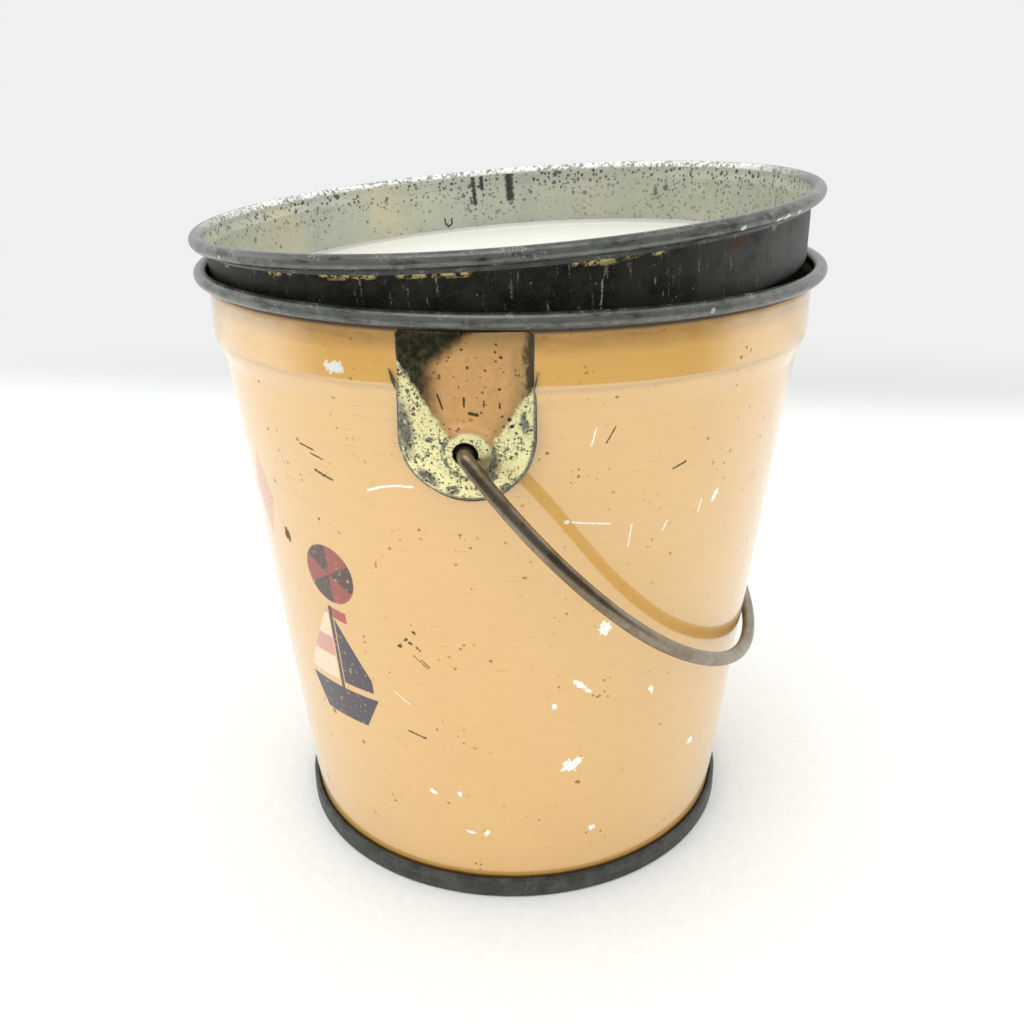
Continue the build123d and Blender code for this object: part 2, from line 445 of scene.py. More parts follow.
def worn_prints(paint):
    """Coats of the boat, the ball and a pink diamond, rubbed thin, and how far they dull the gloss."""
    dark, left_sail, right_sail, pennant, bands = sail_print(paint, at(-34.3), 41.0)
    disc, gores = ball_print(paint, at(-32.0), 56.6)
    kite = (abs(paint.run - at(-52.8)) * 1.15 + abs(paint.rise - 65.5) * 0.6).below(4.2, 0.15)
    rubbed = paint.noise(1.3, 4, 0.7, 12).below(0.63, 0.04)
    coats = [
        ((0.80, 0.62, 0.42), left_sail * rubbed * 0.8),
        ((0.50, 0.12, 0.09), left_sail * bands * rubbed * 0.85),
        (NAVY, right_sail * rubbed * 0.95),
        ((0.42, 0.07, 0.05), pennant * rubbed),
        ((0.045, 0.022, 0.03), disc * rubbed * 0.95),
        ((0.36, 0.07, 0.055), disc * gores * rubbed * 0.8),
        ((0.62, 0.24, 0.24), kite * rubbed * 0.6),
        (NAVY, dark * rubbed * 0.96),
    ]
    ink = (dark | disc | right_sail | pennant) * rubbed
    return coats, ink * 0.8 | kite * 0.4


def peach_enamel():
    """Peach enamel on tin: faint streaks, brown hairlines, chips, scuffs, a worn print and a painted shadow
    under the roll.
    """
    paint = Finish("peach_enamel")
    paint.go_round(PER_DEGREE)
    streaks = paint.noise((0.05, 0.05, 0.9), 4, 0.6)
    clouds = paint.noise(0.05, 3, 0.5, 2)
    grain = paint.noise(2.5, 3, 0.6, 4)
    hairs = paint.noise((0.10, 0.10, 3.6), 3, 0.7, 6).above(0.66, 0.02)
    hairs = hairs * paint.noise(0.12, 3, 0.6, 7).above(0.52, 0.08)
    short_hairs = paint.noise((0.55, 0.55, 5.0), 2, 0.6, 13).above(0.70, 0.02)
    specks = paint.dots(2.1, 0.36, 0.4, shift=1.0) | paint.dots(5.0, 0.6, 0.2, shift=2.0)
    clusters = paint.noise(0.15, 2, 0.5, 17).above(0.58, 0.05)
    dust = paint.dots(1.2, 0.18, 0.34, shift=14.0) | paint.dots(0.8, 0.3, 0.5, shift=18.0) * clusters
    rubs = paint.noise((0.35, 0.35, 1.3), 4, 0.7, 15).above(0.66, 0.05)
    grime = paint.noise((0.25, 0.25, 0.8), 4, 0.7, 9)
    # the wall darker and browner in patches towards the rim
    rim_darkening = paint.z.above(93.6, 1.4) * (grime * 1.3)
    # painted shadow: a near-black band just under the rolled rim, where the roll shades the top of the neck
    roll_shadow = paint.z.above(95.7, 0.3)
    flare = paint.z.above(95.2, 0.35)
    foot_dirt = paint.z.below(4.3, 0.9) * paint.noise((0.3, 0.3, 1.0), 4, 0.7, 10)
    seam_line = (paint.z + (grime - 0.5) * 0.6).below(3.72, 0.15)
    ridge_dirt = abs(paint.z - 88.3 + (grime - 0.5) * 0.7).below(0.35, 0.5)
    chips = enamel_chips(paint)
    scuffs = enamel_scuffs(paint)
    prints, ink = worn_prints(paint)
    colour = paint.layers(
        (0.672, 0.374, 0.087),
        ((0.686, 0.388, 0.094), streaks.above(0.52, 0.2)),
        ((0.640, 0.346, 0.076), clouds.below(0.42, 0.14) * 0.5),
        ((0.655, 0.360, 0.082), grain.above(0.56, 0.1) * 0.35),
        ((0.56, 0.29, 0.07), rubs * 0.5),
        *prints,
        ((0.36, 0.165, 0.045), hairs * 0.75 | short_hairs * 0.8),
        (BROWN_DIRT, specks * 0.9 | dust * 0.75),
        ((0.25, 0.12, 0.04), rim_darkening * 0.8),
        ((0.25, 0.12, 0.04), foot_dirt * 0.6),
        ((0.10, 0.055, 0.02), seam_line * 0.85),
        ((0.30, 0.19, 0.095), ridge_dirt * 0.45),
        ((0.030, 0.020, 0.011), roll_shadow * 0.96),
        ((0.085, 0.045, 0.018), scuffs * 0.95),
        ((0.90, 0.91, 0.86), chips),
    )
    roughness = 0.32 + streaks * 0.05 + scuffs * 0.2 + roll_shadow * 0.3
    height = grain * 0.08 - chips * 0.4 - scuffs * 0.3 + streaks * 0.03
    bare = largest([flare * 0.94, seam_line * 0.7, chips * 0.3, scuffs, specks | dust])
    gloss = 1 - (bare | ink)
    return paint.wear(
        colour, chips * 0.25, roughness, height, 0.02, Coat_Weight=gloss, Coat_Roughness=0.07, Coat_IOR=2.1
    )


def black_lacquer():
    """Black lacquer gone grey with handling: dust, pale flecks and rubbed streaks."""
    paint = Finish("black_lacquer")
    dust = paint.noise(0.35, 4, 0.65)
    fine = paint.noise(3.0, 4, 0.7, 2)
    streaks = paint.noise((0.12, 0.12, 1.6), 4, 0.65, 3)
    flecks = paint.dots(2.6, 0.34, 0.22, shift=4) * paint.noise(1.5, 3, 0.6, 5).above(0.5, 0.08)
    wipes = paint.noise((0.5, 0.5, 0.08), 4, 0.7, 6).above(0.62, 0.04) * fine.above(0.5, 0.06)
    colour = paint.layers(
        (0.018, 0.019, 0.017),
        ((0.055, 0.056, 0.051), dust.above(0.52, 0.14)),
        ((0.055, 0.05, 0.035), streaks.above(0.58, 0.08) * 0.8),
        ((0.17, 0.17, 0.15), fine.above(0.64, 0.05) * 0.5),
        ((0.24, 0.225, 0.18), wipes * 0.35),
        ((0.46, 0.43, 0.34), flecks * 0.8),
    )
    roughness = 0.40 + dust * 0.14 + fine * 0.08
    height = fine * 0.5 + dust * 0.4 + streaks * 0.3
    return paint.wear(colour, flecks * 0.8, roughness, height, 0.05, Specular_IOR_Level=0.5)


def rolled_lacquer(name, ring_r, frame=None, bright=()):
    """Lacquer on a rolled rim: rubbed grey on its outermost line, with nicks, wrinkles and bright chips."""
    paint = Finish(name, frame)
    paint.go_round(RIM_PER_DEGREE)
    dust = paint.noise(0.4, 4, 0.65)
    fine = paint.noise(3.2, 4, 0.7, 2)
    along = paint.noise((0.22, 0.22, 0.8), 4, 0.7, 3)
    wrinkles = paint.noise((1.1, 1.1, 0.35), 4, 0.7, 6)
    nicks = paint.dots(2.6, 0.5, 0.3, shift=4) * fine.above(0.45, 0.06)
    for run, rise, width, height in bright:
        nicks = nicks | paint.spot(run, rise, width, height, 8, 3.0)
    radius = (paint.x * paint.x + paint.y * paint.y).maths("SQRT")
    crest = radius.above(ring_r + 0.66, 0.26)
    rubbed = crest * along.above(0.46, 0.10)
    colour = paint.layers(
        (0.016, 0.017, 0.015),
        ((0.042, 0.044, 0.040), dust.above(0.48, 0.12)),
        ((0.20, 0.205, 0.19), rubbed * 0.6),
        ((0.30, 0.30, 0.28), (fine * dust).above(0.33, 0.03) * 0.5),
        ((0.62, 0.61, 0.55), nicks * 0.9),
    )
    roughness = 0.17 + dust * 0.10 + fine * 0.06
    height = fine * 0.3 + wrinkles * 0.35 - nicks * 0.4
    metal = rubbed * 0.4 | nicks * 0.4
    return paint.wear(colour, metal, roughness, height, 0.06, Specular_IOR_Level=0.5)


def lid_outside_lacquer():
    """Lacquer on the lid's wall: brass-yellow wear under the roll, rust and upright scratches."""
    paint = Finish("lid_wall_lacquer", lid_frame())
    paint.go_round(LID_PER_DEGREE)
    dust = paint.noise(0.25, 4, 0.65)
    fine = paint.noise(3.0, 4, 0.7, 2)
    upright = paint.noise((1.6, 1.6, 0.16), 3, 0.7, 3).above(0.63, 0.04) * fine.above(0.5, 0.05)
    level = paint.noise((0.14, 0.14, 2.0), 4, 0.65, 4)
    flecks = paint.dots(2.2, 0.36, 0.26, shift=5) * fine.above(0.48, 0.06)
    speckle = paint.dots(1.1, 0.2, 0.3, shift=7)
    rim_line = paint.z + (level - 0.5) * 1.4
    edge = abs(rim_line + 1.8).below(0.46, 0.2)
    gathered = paint.noise((0.10, 0.10, 0.1), 3, 0.6, 8).above(0.58, 0.04)
    gathered = gathered | paint.spot(-14.5, -1.8, 8, 3, 0, 0.5) | paint.spot(-3.0, -1.8, 9, 3, 0, 0.5)
    worn = edge * gathered * paint.noise((0.9, 0.9, 1.4), 4, 0.75, 6).above(0.49, 0.03)
    rust = paint.spot(38.2, -2.6, 4.2, 1.3, 4, 1.4, 0.35)
    scratch = paint.stroke([(17.6, -4.2), (17.2, -9.6)], 0.18, 0.6)
    right_dust = paint.run.above(36, 16) * paint.run.below(112, 26) * 0.9
    colour = paint.layers(
        (0.006, 0.006, 0.004),
        ((0.018, 0.018, 0.013), dust.above(0.5, 0.10)),
        ((0.075, 0.076, 0.070), right_dust * dust.above(0.38, 0.2)),
        ((0.030, 0.027, 0.017), fine.above(0.54, 0.06) * 0.5),
        ((0.34, 0.32, 0.25), upright * 0.4),
        ((0.20, 0.19, 0.15), speckle * 0.6),
        ((0.055, 0.024, 0.012), rust * 0.85),
        ((0.66, 0.54, 0.22), worn * 0.92),
        ((0.52, 0.50, 0.42), flecks * 0.8 | scratch * 0.35),
    )
    roughness = 0.40 + dust * 0.14 + fine * 0.08
    height = fine * 0.5 + dust * 0.4 - worn * 0.4
    return paint.wear(colour, worn * 0.7 | flecks * 0.5, roughness, height, 0.05, Specular_IOR_Level=0.2)


def lid_inside_tin():
    """Bare tin inside the lid: cream and grey bands, black specks thick near the rim, two drips, darker
    sides of painted shade and a floor painted near-white as a reflection.
    """
    paint = Finish("lid_inside_tin", lid_frame())
    paint.go_round(LID_PER_DEGREE, rear=True)
    bands = paint.noise((0.055, 0.055, 0.004), 2, 0.4, 1)
    clouds = paint.noise(0.3, 4, 0.6, 2)
    fine = paint.noise(2.6, 4, 0.7, 3)
    up = paint.z
    near_rim = up.above(-4.5, 4.5)
    right = paint.run.above(6, 26) * paint.run.below(116, 24)
    left = paint.run.below(-38, 16) * paint.run.above(-116, 24)
    crowd = paint.spot(at(-12.5), -4.0, 13, 9, 0, 1.0, 0.6)
    specks = paint.dots(1.1, 0.42, 0.5, shift=4) | paint.dots(2.0, 0.66, 0.34, shift=5)
    specks = specks | paint.dots(0.7, 0.28, 0.5, shift=7) * (right * 0.6 + 0.4)
    rim_specks = paint.dots(0.75, 0.42, 0.7, shift=6) * largest([up.above(-3.6, 2.6), right * 0.5, crowd])
    dark = specks * (near_rim * 0.4 + 0.6) | rim_specks
    hook = [(-19.0, -7.5), (-18.9, -8.6), (-18.2, -9.0), (-17.6, -8.5), (-17.6, -7.6)]
    runs = (
        (-16.7, 0.4, -16.6, -5.2, 0.8, 1.2),
        (-14.4, 0.4, -14.5, -2.4, 0.8, 1.2),
        (-7.2, 0.8, -7.1, -4.6, 1.5, 1.2),
    )
    drips = largest(
        [
            paint.strokes(runs, PER_DEGREE),
            paint.stroke(hook, 0.35, 0.3),
            paint.spot(-17.9, -9.9, 1.4, 0.7, 0, 1.0, 0.3),
        ]
    )
    wall = up.above(-9.6, 0.3)
    joint = abs(up + 9.9).below(0.35, 0.3)
    # Painted shade: the wall darker on its right and left sides, with less cream on the right. Painted
    # reflection: the floor near-white, for the bright light the tin floor reflects.
    colour = paint.layers(
        (0.66, 0.68, 0.57),
        ((0.80, 0.72, 0.49), bands.above(0.52, 0.1) * wall * (1 - right * 0.7)),
        ((0.46, 0.48, 0.41), bands.below(0.42, 0.12) * 0.6 * wall),
        ((0.36, 0.37, 0.31), (right * 1.25 | left) * wall * 0.55),
        ((0.56, 0.57, 0.47), clouds.above(0.55, 0.1) * 0.5 * wall),
        ((0.97, 0.96, 0.88), wall.below(0.5, 0.4)),
        ((0.12, 0.12, 0.11), joint * 0.6),
        ((0.035, 0.034, 0.03), dark * wall * 0.9),
        ((0.015, 0.015, 0.013), drips * wall * 0.95),
    )
    roughness = 0.36 + clouds * 0.16
    height = fine * 0.3 * wall - dark * 0.4 * wall
    # the floor stays hardly metallic, so that its near-white painted reflection shows
    metal = 0.1 + wall * 0.6 - (dark | drips) * wall * 0.5
    return paint.wear(colour, metal, roughness, height, 0.03)


def flaked_rim():
    """The inner side of the lid's roll: bright flaking tin broken by dark patches."""
    paint = Finish("flaked_rim_tin", lid_frame())
    flakes = paint.noise(1.5, 5, 0.75, 1)
    fine = paint.noise(4.5, 3, 0.7, 2)
    gaps = paint.noise(0.22, 3, 0.6, 3)
    far = (paint.y + paint.x * -0.25).above(8, 22)
    high = paint.z.above(0.1, 0.2)
    bright = (flakes + (gaps - 0.5) * 0.35).above(0.48, 0.025) * far * high
    colour = paint.layers(
        (0.075, 0.077, 0.070),
        ((0.20, 0.20, 0.185), fine.above(0.5, 0.1)),
        ((0.40, 0.41, 0.34), far * (1 - high) * 0.85),
        ((0.40, 0.41, 0.36), far * flakes.above(0.42, 0.05) * 0.6),
        ((0.86, 0.86, 0.82), bright),
        ((0.03, 0.03, 0.028), flakes.below(0.37, 0.03) * 0.9),
    )
    return paint.wear(colour, bright * 0.5, 0.42 + fine * 0.12, bright * 0.6 + fine * 0.3, 0.05)


def inner_tin():
    """Plain tin inside the pail, dulled, with faint drawing lines and specks."""
    paint = Finish("inner_tin")
    clouds = paint.noise(0.12, 4, 0.6)
    lines = paint.noise((0.05, 0.05, 2.4), 3, 0.6, 2)
    specks = paint.dots(2.6, 0.4, 0.25, shift=3)
    colour = paint.layers(
        (0.50, 0.51, 0.42),
        ((0.40, 0.38, 0.28), clouds.above(0.52, 0.12) * 0.7),
        ((0.60, 0.60, 0.52), lines.above(0.55, 0.1) * 0.4),
        ((0.07, 0.06, 0.045), specks * 0.85),
    )
    return paint.wear(colour, 0.9 - specks * 0.6, 0.34 + clouds * 0.2, lines * 0.5, 0.03)


def ear_zones(paint, seed):
    """Masks of an ear's cream U, its tan middle, which is a painted reflection, and the olive edge between,
    which is painted shade, and the way from the hole.
    """
    a, b = paint.run, paint.rise
    wave = (paint.noise(0.7, 5, 0.7, seed + 1) - 0.5) * 3.6
    from_hole = ((a - 0.4) * (a - 0.4) + (b - hole_z) * (b - hole_z)).maths("SQRT")
    torn = (paint.noise(3.2, 4, 0.7, seed + 12) - 0.5) * 1.8
    left_arm = (b + a * 1.54 + wave * 0.9 + torn).below(79.0, 0.6)
    right_arm = (b - a * 1.45 + wave * 0.9 + torn).below(76.3, 0.6)
    cream = left_arm | right_arm | (from_hole + wave * 0.25 + torn * 0.3).below(3.0, 0.25)
    olive = (b + a * 1.54 + wave).below(80.6, 1.2) | (b - a * 1.45 + wave).below(78.2, 1.4)
    left_edge = (a + wave * 0.45 + torn * 0.3).above(-4.1, 1.9)
    top_corner = (b - a * 0.79 + wave * 0.7).above(94.9, 1.8)
    return cream, left_edge & top_corner.below(0.5, 0.5), olive, from_hole


def ear_slits(paint):
    """Short dark slits and pin holes above the boss."""
    slits = (
        (0.0, 86.6, 0.0, 87.6, 0.3, 0.25),
        (0.7, 85.7, 1.7, 85.5, 0.42, 0.35),
        (-3.4, 88.0, -2.8, 86.2, 0.26, 0.25),
        (2.5, 86.6, 2.55, 87.3, 0.2, 0.2),
        (4.5, 86.4, 4.5, 87.0, 0.2, 0.2),
    )
    holes = (
        (5.7, 84.9, 0.55, 0.55, 0, 0.8),
        (6.0, 84.0, 0.6, 0.5, 0, 0.8),
        (4.5, 88.8, 0.4, 0.4, 0, 0.8),
        (4.8, 85.3, 0.35, 0.3, 0, 0.8),
    )
    return paint.strokes(slits) | paint.spots(holes)


def ear_patches(paint, seed, from_hole):
    """Bare grey-black patches in the cream tin along its edges and below the hole, and a broken ring of
    painted shade in the groove round the boss.
    """
    torn = paint.noise(1.5, 5, 0.75, seed + 7)
    blots = (
        (-7.9, 83.2, 2.0, 7.5, 8, 1.2, 0.5),
        (-5.2, 76.6, 3.4, 1.5, -42, 1.5, 0.4),
        (-2.0, 74.7, 1.9, 1.5, 20, 1.8, 0.3),
        (3.4, 76.9, 1.6, 0.9, 20, 1.8, 0.3),
        (5.0, 75.4, 1.8, 1.0, 35, 1.8, 0.3),
        (7.6, 84.2, 1.0, 3.0, 10, 1.6, 0.4),
        (-7.6, 91.0, 1.1, 2.4, 28, 1.4, 0.3),
        (-4.6, 82.0, 1.2, 0.8, 0, 1.8, 0.3),
    )
    # painted shade: a broken dark ring along the groove round the boss
    groove = (abs(from_hole - 3.35 + (torn - 0.5) * 1.2).below(0.34, 0.2)) & torn.above(0.47, 0.05)
    return (paint.spots(blots) & torn.above(0.42, 0.05)) | groove | torn.above(0.64, 0.02)


def ear_tin(name, seed):
    """Pitted tin of an ear: a tan centre that is a painted reflection, olive-black flanks of painted shade
    and a cream U with pits and patches.
    """
    paint = Finish(name)
    paint.run = paint.x * (1 if seed == 0 else -1)
    a, b = paint.run, paint.rise
    fine = paint.noise(4.5, 4, 0.7, seed + 2)
    grime = paint.noise(0.9, 5, 0.7, seed + 3)
    cream, tan_reflection, olive, from_hole = ear_zones(paint, seed)
    patches = ear_patches(paint, seed, from_hole) * cream
    crowd = paint.noise(0.5, 3, 0.6, seed + 6)
    ragged = paint.noise(2.6, 4, 0.75, seed + 4) + (crowd - 0.5) * 0.35
    pits = paint.dots(0.6, 0.3, 0.3, shift=seed + 5) | paint.dots(0.4, 0.2, 0.22, shift=seed + 11)
    pits = (pits | ragged.above(0.572, 0.015)) * cream
    gathered = paint.noise(0.38, 2, 0.5, seed + 9).above(0.5, 0.08)
    tan_specks = paint.dots(0.6, 0.26, 0.5, shift=seed + 8)
    tan_specks = (tan_specks | paint.dots(1.0, 0.36, 0.3, shift=seed + 10)) * gathered * tan_reflection
    slits = ear_slits(paint)
    # painted shade: the upper right flank of the ear near black
    flank = (a + (grime - 0.5) * 3).above(7.6, 0.5) & b.above(85.6, 0.8)
    # painted shadow of the bail wire on the lower right of the boss
    shade = paint.spot(3.0, 78.7, 2.8, 3.6, -35, 1.0, 0.4)
    spur = abs(a).above(8.95, 0.1)
    outline = (abs(a).above(8.66, 0.14) & b.above(70, 1)) | (
        ((a * a) + (b - 82) * (b - 82)).maths("SQRT").above(8.5, 0.18) & b.below(82, 0.5)
    )
    # The dark base, the olive edge and the black flank are painted shade; the tan centre, darker towards
    # its top and right side, is a painted reflection of a warm tan thing in front.
    colour = paint.layers(
        (0.028, 0.027, 0.014),
        ((0.12, 0.10, 0.05), grime.above(0.52, 0.09) * 0.75),
        ((0.68, 0.37, 0.14), tan_reflection),
        ((0.52, 0.30, 0.10), tan_reflection * grime.above(0.52, 0.12) * 0.5),
        ((0.33, 0.22, 0.08), tan_reflection * (b.above(94.2, 1.4) | a.above(5.9, 0.7) * 0.6) * 0.75),
        ((0.36, 0.25, 0.095), tan_reflection * olive * 0.6),
        ((0.045, 0.026, 0.012), tan_specks * 0.9),
        ((0.035, 0.034, 0.015), flank * 0.9),
        ((0.90, 0.83, 0.44), cream),
        ((0.66, 0.55, 0.22), cream * fine.above(0.57, 0.06) * 0.6),
        ((0.20, 0.155, 0.07), cream * shade * 0.85),
        ((0.10, 0.105, 0.10), patches * 0.92),
        ((0.040, 0.034, 0.020), pits * 0.92),
        ((0.022, 0.016, 0.012), slits * 0.95),
        ((0.085, 0.09, 0.092), outline * grime.above(0.38, 0.1) * 0.85),
        ((0.055, 0.052, 0.045), spur * 0.95),
    )
    stained = pits | patches | slits | outline
    roughness = 0.36 + fine * 0.16 + stained * 0.15
    height = fine * 0.25 - pits * 0.5 - patches * 0.5 - slits * 0.6 - tan_specks * 0.3
    metal = 0.75 - (cream | tan_reflection) * 0.4 - stained * 0.2
    return paint.wear(colour, metal, roughness, height, 0.05)


def bail_steel(name, hole_shade):
    """Tarnished brown-grey wire, with paler rubbed stretches, fine pits and a share of painted shade, near
    black, for the button ends that sit in shadow behind the ears.
    """
    paint = Finish(name)
    tarnish = paint.noise(0.14, 4, 0.6)
    fine = paint.noise(3.2, 4, 0.7, 2)
    drawn = paint.noise((0.4, 0.4, 0.4), 4, 0.75, 3)
    pits = paint.dots(1.2, 0.28, 0.3, shift=4)
    colour = paint.layers(
        (0.210, 0.160, 0.105),
        ((0.33, 0.28, 0.21), tarnish.above(0.52, 0.1) * 0.8),
        ((0.17, 0.105, 0.06), drawn.above(0.56, 0.06) * 0.7),
        ((0.48, 0.44, 0.37), fine.above(0.62, 0.06) * 0.4),
        ((0.04, 0.03, 0.022), pits * 0.7),
        # painted shade, near black, where it is asked for
        ((0.010, 0.009, 0.007), hole_shade),
    )
    roughness = 0.28 + tarnish * 0.12
    return paint.wear(colour, 0.9 - pits * 0.4, roughness, fine * 0.4 - pits * 0.5, 0.04)


def plain_steel():
    """Grey drawn wire inside the rolled rims."""
    paint = Finish("rim_wire_steel")
    fine = paint.noise(2.8, 4, 0.7)
    rust = paint.noise(0.5, 4, 0.65, 2)
    colour = paint.layers(
        (0.34, 0.33, 0.31),
        ((0.22, 0.20, 0.18), fine.above(0.55, 0.1) * 0.6),
        ((0.22, 0.10, 0.045), rust.above(0.62, 0.05) * 0.7),
    )
    return paint.wear(colour, 0.9, 0.38 + fine * 0.15, fine * 0.5, 0.03)


def soft_solder():
    """Dull grey solder, lumpy and slightly crazed."""
    paint = Finish("soft_solder")
    lumps = paint.noise(0.9, 3, 0.6)
    fine = paint.noise(4.0, 4, 0.7, 2)
    colour = paint.layers(
        (0.44, 0.45, 0.44),
        ((0.30, 0.31, 0.31), lumps.above(0.5, 0.12) * 0.7),
        ((0.18, 0.17, 0.15), fine.above(0.63, 0.05) * 0.7),
    )
    return paint.wear(colour, 0.85, 0.46 + fine * 0.14, lumps + fine * 0.3, 0.08)


def floor_paper():
    """Pale seamless paper that ends softly behind the object."""
    paint = Finish("floor_paper")
    tooth = paint.noise(0.6, 4, 0.6)
    colour = paint.layers((0.84, 0.85, 0.84), ((0.80, 0.81, 0.80), tooth.above(0.5, 0.2)))
    paint.wear(colour, 0.0, 0.85, tooth, 0.02)
    paint.fade_out(paint.y.above(floor_far - 64, 56))
    return paint.material


# ---- sections in (radius, height)
def arc(centre, radius, start, turn, step=7.0):
    """Points on an arc; angles are in degrees."""
    count = max(2, int(abs(turn) / step) + 1)
    angles = [radians(start + turn * i / count) for i in range(count + 1)]
    return [(centre[0] + radius * cos(a), centre[1] + radius * sin(a)) for a in angles]


def rounded(points, radii, step=12.0, longest=3.0):
    """A polyline with its inner corners rounded and its long runs divided."""
    path = [points[0]]
    for before, corner, after, radius in zip(points, points[1:], points[2:], radii):
        to = Vector(corner) - Vector(before)
        on = Vector(after) - Vector(corner)
        turn = to.angle_signed(on)
        reach = radius * tan(abs(turn) / 2)
        side = 1 if turn < 0 else -1
        begin = Vector(corner) - to.normalized() * reach
        inward = Vector((-to.y, to.x)).normalized() * side
        centre = begin + inward * radius
        first = degrees(atan2(*(begin - centre).yx))
        path += arc(centre, radius, first, degrees(abs(turn)) * side, step)
    path.append(points[-1])
    return divided(path, longest)


def divided(path, longest):
    """The path with extra points, so that no run is longer than `longest` mm."""
    result = [path[0]]
    for (r0, z0), (r1, z1) in zip(path, path[1:]):
        length = hypot(r1 - r0, z1 - z0)
        if length < 1e-6:
            continue
        count = int(length / longest) + 1
        result += [(r0 + (r1 - r0) * i / count, z0 + (z1 - z0) * i / count) for i in range(1, count + 1)]
    return result


def rolled_rim(wall_r, ring_r, ring_z):
    """Centre line of a rim: the last of a wall, the flare and the roll round the wire."""
    roll_line_r = roll_r - sheet / 2
    start_r = ring_r - roll_line_r
    rise = [
        (wall_r, ring_z - rim_depth),
        (wall_r, ring_z - 1.5 * flare_height),
        (start_r, ring_z - flare_height / 2),
        (start_r, ring_z),
    ]
    return rounded(rise, (1.5, 1.5))[:-1] + arc((ring_r, ring_z), roll_line_r, 180, -roll_wrap, 9)


def ribbon(path, thickness):
    """Left-hand and right-hand faces of a sheet that follows a path."""
    line = np.array(path)
    run = np.gradient(line, axis=0)
    run /= np.linalg.norm(run, axis=1)[:, None]
    left = np.stack([-run[:, 1], run[:, 0]], axis=1)
    return line + left * thickness / 2, line - left * thickness / 2


# ---- meshes
def make_mesh(name, points, faces, finishes, indices=None, matrix=None, sharp=35.0):
    """A smooth-shaded object from points in mm, with one material index for each face."""
    mesh = bpy.data.meshes.new(name)
    mesh.from_pydata([tuple(float(c) * MM for c in p) for p in points], [], faces)
    if matrix is not None:
        mesh.transform(matrix)
    for finish in finishes:
        mesh.materials.append(finish)
    if indices is not None:
        mesh.polygons.foreach_set("material_index", indices)
    mesh.polygons.foreach_set("use_smooth", [True] * len(mesh.polygons))
    mesh.validate()
    mesh.update()
    mesh.set_sharp_from_angle(angle=radians(sharp))
    piece = bpy.data.objects.new(name, mesh)
    bpy.context.scene.collection.objects.link(piece)
    return piece


def lathe(name, path, finishes, choose, ripple, matrix=None):
    """A sheet-metal piece turned about the axis. `choose` gives the material of a strip of its face."""
    left, right = ribbon(path, sheet)
    loop = np.concatenate([left, right[::-1]])
    sides = ["left"] * len(left) + ["right"] * len(right)
    on_axis = loop[:, 0] < 1e-6
    angles = np.arange(AROUND) * 2 * pi / AROUND
    points, first = [], []
    for (radius, height), pole in zip(loop, on_axis):
        first.append(len(points))
        if pole:
            points.append((0, 0, height))
            continue
        ring = radius - ripple(angles, radius, height)
        points += list(zip(ring * np.sin(angles), -ring * np.cos(angles), np.full(AROUND, height)))
    faces, indices = [], []
    for i in range(len(loop)):
        j = (i + 1) % len(loop)
        if on_axis[i] and on_axis[j]:
            continue
        middle = (loop[i] + loop[j]) / 2
        index = choose(sides[i], middle[0], middle[1], min(i, len(loop) - 1 - i))
        for k in range(AROUND):
            n = (k + 1) % AROUND
            if on_axis[i]:
                face = (first[i], first[j] + n, first[j] + k)
            elif on_axis[j]:
                face = (first[i] + k, first[i] + n, first[j])
            else:
                face = (first[i] + k, first[i] + n, first[j] + n, first[j] + k)
            faces.append(face)
            indices.append(index)
    return make_mesh(name, points, faces, finishes, indices, matrix)


def tube(name, route, radii, finish, around):
    """A closed round tube along a route of points, with a radius at each."""
    centres = np.array(route)
    run = np.gradient(centres, axis=0)
    run /= np.linalg.norm(run, axis=1)[:, None]
    points, faces = [], []
    across = Vector(run[0]).orthogonal().normalized()
    for centre, direction, radius in zip(centres, run, radii):
        direction = Vector(direction)
        across = (across - direction * across.dot(direction)).normalized()
        other = direction.cross(across)
        for k in range(around):
            angle = 2 * pi * k / around
            points.append(Vector(centre) + (across * cos(angle) + other * sin(angle)) * radius)
    for i in range(len(centres) - 1):
        for k in range(around):
            n = (k + 1) % around
            a, b = i * around, (i + 1) * around
            faces.append((a + k, a + n, b + n, b + k))
    last = (len(centres) - 1) * around
    faces.append(tuple(reversed(range(around))))
    faces.append(tuple(range(last, last + around)))
    return make_mesh(name, points, faces, [finish])


# ---- pieces
def cone_r(z):
    """Outer radius of the wall's cone."""
    return shoulder_r - cone_slope * (shoulder_low_z - z)


def wall_ripple(angles, radius, z):
    """Slight hollows in the wall and its rim, in mm inwards."""
    low = 0.5 + 0.5 * np.sin(3 * angles + 0.7 + z / 31) * np.sin(5 * angles + 2.1 - z / 17)
    high = 0.5 + 0.5 * np.sin(11 * angles + z / 9) * np.sin(17 * angles + 1.3)
    return wall_hollow * low + rim_hollow * high


def make_wall(enamel, rim, tin):
    """Pail wall with its foot hook, shoulder bead and rolled rim, and the lock seam's folds."""
    half = sheet / 2
    foot = cone_r(cone_low_z) - half
    hook = foot + wall_hook
    start = [
        (hook, wall_hook_top),
        (hook, cone_low_z),
        (foot, cone_low_z),
        (shoulder_r - half, shoulder_low_z),
        (neck_r - half, shoulder_high_z),
        (neck_r - half, pail_ring_z - rim_depth),
    ]
    path = rounded(start, (0.3, 0.3, 3.0, 6.0), longest=2.6)
    path = path + rolled_rim(neck_r - half, pail_ring_r, pail_ring_z)[1:]
    rim_start = pail_ring_z - 0.75 * flare_height

    def choose(side, radius, height, order):
        if height > rim_start and (side == "right" or order > 0):
            return 1
        return 0 if side == "right" else 2

    return lathe("pail_wall_sheet", path, (enamel, rim, tin), choose, wall_ripple)


